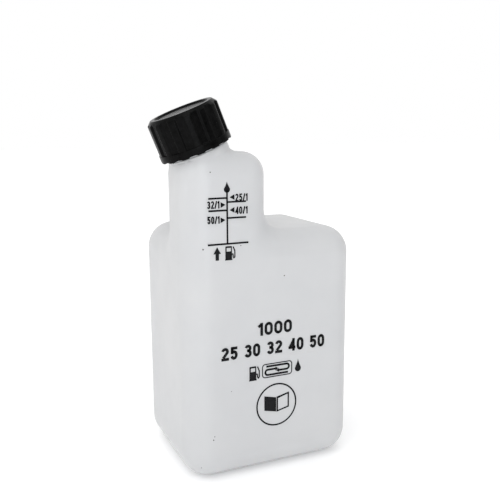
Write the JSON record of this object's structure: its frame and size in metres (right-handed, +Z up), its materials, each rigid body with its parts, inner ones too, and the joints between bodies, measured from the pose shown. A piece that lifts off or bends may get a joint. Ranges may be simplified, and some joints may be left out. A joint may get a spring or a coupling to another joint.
{
  "type": "fuel mixing bottle",
  "caption": "Translucent blow-moulded fuel mixing bottle with a corner measuring column and a leaning neck closed by a ribbed screw cap.",
  "frame": {"origin": "middle of the block's underside, in the plane it stands on", "axes": "+X to the right along the printed front face, +Y away from the viewer, +Z up; the column is at the front left corner"},
  "size_m": [0.1135, 0.0834, 0.208],
  "materials": {
    "bottle_plastic": "satin, milky, slightly see-through",
    "cap_plastic": "satin black",
    "liner_foam": "matt"
  },
  "bodies": {
    "bottle": {"bottle": "bottle_plastic"},
    "liner": {"cap_liner": "liner_foam"},
    "cap": {"screw_cap": "cap_plastic"}
  },
  "joints": [
    {"name": "cap_lift", "type": "slide", "parent": "bottle", "child": "liner", "axis": [-0.3746, 0, 0.9272], "range_m": [0, 0.0241]},
    {"name": "cap_turn", "type": "hinge", "parent": "liner", "child": "cap", "pos_m": [-0.0373, -0.02185, 0.1814], "axis": [-0.3746, 0, 0.9272], "range_deg": [0, 2160]}
  ],
  "couplings": [
    {"joint": "cap_lift", "follows": "cap_turn", "m_per_rad": 0.00063662}
  ]
}
